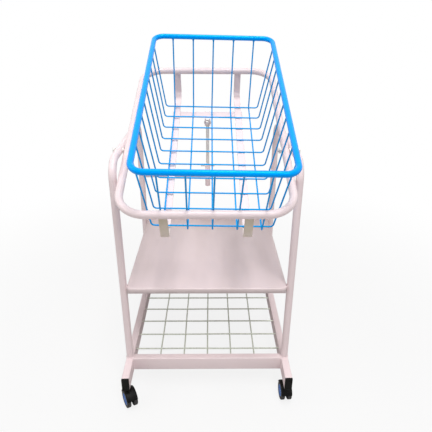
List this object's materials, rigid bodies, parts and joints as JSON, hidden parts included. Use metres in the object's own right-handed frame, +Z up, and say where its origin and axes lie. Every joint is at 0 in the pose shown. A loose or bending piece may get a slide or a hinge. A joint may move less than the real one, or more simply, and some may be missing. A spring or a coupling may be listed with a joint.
{
  "type": "hospital bassinet",
  "caption": "Tall newborn bassinet on castors: a loose wire basket in a tilting tube cradle, over a sheet shelf and a wire shelf in a welded tube stand.",
  "frame": {"origin": "on the floor, under the middle of the bounding box", "axes": "+Z up, +Y towards the raised head end, +X to the right seen from the foot end"},
  "size_m": [0.4816, 0.6731, 0.9411],
  "materials": {
    "pale_powder_coat": "semi-gloss pale pink-white powder coat",
    "blue_enamel": "glossy bright blue powder coat",
    "galvanised_wire": "dull grey-green galvanised wire",
    "zinc_plate": "bright zinc plate",
    "black_plastic": "moulded black plastic"
  },
  "bodies": {
    "stand": {"base_rail_left": "pale_powder_coat", "side_frame_left": "pale_powder_coat", "pivot_bolt_left": "zinc_plate", "pivot_nut_left": "zinc_plate", "pivot_spacer_left": "zinc_plate", "base_rail_right": "pale_powder_coat", "side_frame_right": "pale_powder_coat", "pivot_bolt_right": "zinc_plate", "pivot_nut_right": "zinc_plate", "pivot_spacer_right": "zinc_plate", "base_cross_bar_front": "pale_powder_coat", "base_cross_bar_rear": "pale_powder_coat", "solid_shelf": "pale_powder_coat", "wire_shelf": "galvanised_wire", "rear_cross_tube": "pale_powder_coat", "stay_tube": "pale_powder_coat", "rail_end_cap_front_left": "black_plastic", "rail_end_cap_front_right": "black_plastic", "rail_end_cap_rear_left": "black_plastic", "rail_end_cap_rear_right": "black_plastic"},
    "lock_screw": {"stay_lock_screw": "zinc_plate"},
    "stay": {"stay_rod": "zinc_plate", "stay_pin": "zinc_plate"},
    "cradle": {"cradle_ring": "pale_powder_coat", "cradle_strap_left": "pale_powder_coat", "cradle_strap_right": "pale_powder_coat", "cradle_under_bar": "pale_powder_coat"},
    "basket": {"basket_rim": "blue_enamel", "basket_cross_wire_01": "blue_enamel", "basket_cross_wire_02": "blue_enamel", "basket_cross_wire_03": "blue_enamel", "basket_cross_wire_04": "blue_enamel", "basket_cross_wire_05": "blue_enamel", "basket_cross_wire_06": "blue_enamel", "basket_cross_wire_07": "blue_enamel", "basket_cross_wire_08": "blue_enamel", "basket_cross_wire_09": "blue_enamel", "basket_cross_wire_10": "blue_enamel", "basket_long_wire_1": "blue_enamel", "basket_long_wire_2": "blue_enamel", "basket_long_wire_3": "blue_enamel", "basket_long_wire_4": "blue_enamel", "basket_long_wire_5": "blue_enamel"},
    "castor_front_left": {"castor_hood_front_left": "black_plastic", "castor_axle_front_left": "zinc_plate"},
    "wheel_front_left_left": {"castor_wheel_front_left_left": "black_plastic"},
    "wheel_front_left_right": {"castor_wheel_front_left_right": "black_plastic"},
    "castor_front_right": {"castor_hood_front_right": "black_plastic", "castor_axle_front_right": "zinc_plate"},
    "wheel_front_right_left": {"castor_wheel_front_right_left": "black_plastic"},
    "wheel_front_right_right": {"castor_wheel_front_right_right": "black_plastic"},
    "castor_rear_left": {"castor_hood_rear_left": "black_plastic", "castor_axle_rear_left": "zinc_plate"},
    "wheel_rear_left_left": {"castor_wheel_rear_left_left": "black_plastic"},
    "wheel_rear_left_right": {"castor_wheel_rear_left_right": "black_plastic"},
    "castor_rear_right": {"castor_hood_rear_right": "black_plastic", "castor_axle_rear_right": "zinc_plate"},
    "wheel_rear_right_left": {"castor_wheel_rear_right_left": "black_plastic"},
    "wheel_rear_right_right": {"castor_wheel_rear_right_right": "black_plastic"}
  },
  "joints": [
    {"name": "cradle_tilt", "type": "hinge", "parent": "stand", "child": "cradle", "pos_m": [0, -0.06743, 0.678], "axis": [1, 0, 0], "range_deg": [-22.5, 0]},
    {"name": "stay_slide", "type": "slide", "parent": "stand", "child": "stay", "axis": [0, 0, 1], "range_m": [-0.1143, 0]},
    {"name": "basket_lift", "type": "slide", "parent": "cradle", "child": "basket", "axis": [0, -0.3827, 0.9239], "range_m": [0, 0.25]},
    {"name": "lock_turn", "type": "hinge", "parent": "stand", "child": "lock_screw", "pos_m": [0, 0.24877, 0.532], "axis": [0, 1, 0], "range_deg": [0, 360]},
    {"name": "swivel_front_left", "type": "hinge", "parent": "stand", "child": "castor_front_left", "pos_m": [-0.22, -0.23243, 0.05], "axis": [0, 0, 1], "continuous": true},
    {"name": "spin_front_left_left", "type": "hinge", "parent": "castor_front_left", "child": "wheel_front_left_left", "pos_m": [-0.21418, -0.24292, 0.025], "axis": [-0.8746, -0.4848, 0], "continuous": true},
    {"name": "spin_front_left_right", "type": "hinge", "parent": "castor_front_left", "child": "wheel_front_left_right", "pos_m": [-0.21418, -0.24292, 0.025], "axis": [-0.8746, -0.4848, 0], "continuous": true},
    {"name": "swivel_front_right", "type": "hinge", "parent": "stand", "child": "castor_front_right", "pos_m": [0.22, -0.23243, 0.05], "axis": [0, 0, 1], "continuous": true},
    {"name": "spin_front_right_left", "type": "hinge", "parent": "castor_front_right", "child": "wheel_front_right_left", "pos_m": [0.21937, -0.22044, 0.025], "axis": [0.9986, 0.0523, 0], "continuous": true},
    {"name": "spin_front_right_right", "type": "hinge", "parent": "castor_front_right", "child": "wheel_front_right_right", "pos_m": [0.21937, -0.22044, 0.025], "axis": [0.9986, 0.0523, 0], "continuous": true},
    {"name": "swivel_rear_left", "type": "hinge", "parent": "stand", "child": "castor_rear_left", "pos_m": [-0.22, 0.31157, 0.05], "axis": [0, 0, 1], "continuous": true},
    {"name": "spin_rear_left_left", "type": "hinge", "parent": "castor_rear_left", "child": "wheel_rear_left_left", "pos_m": [-0.2171, 0.29993, 0.025], "axis": [-0.9703, -0.2419, 0], "continuous": true},
    {"name": "spin_rear_left_right", "type": "hinge", "parent": "castor_rear_left", "child": "wheel_rear_left_right", "pos_m": [-0.2171, 0.29993, 0.025], "axis": [-0.9703, -0.2419, 0], "continuous": true},
    {"name": "swivel_rear_right", "type": "hinge", "parent": "stand", "child": "castor_rear_right", "pos_m": [0.22, 0.31157, 0.05], "axis": [0, 0, 1], "continuous": true},
    {"name": "spin_rear_right_left", "type": "hinge", "parent": "castor_rear_right", "child": "wheel_rear_right_left", "pos_m": [0.21418, 0.30108, 0.025], "axis": [-0.8746, 0.4848, 0], "continuous": true},
    {"name": "spin_rear_right_right", "type": "hinge", "parent": "castor_rear_right", "child": "wheel_rear_right_right", "pos_m": [0.21418, 0.30108, 0.025], "axis": [-0.8746, 0.4848, 0], "continuous": true}
  ],
  "couplings": [
    {"joint": "stay_slide", "follows": "cradle_tilt", "m_per_rad": 0.28977}
  ]
}
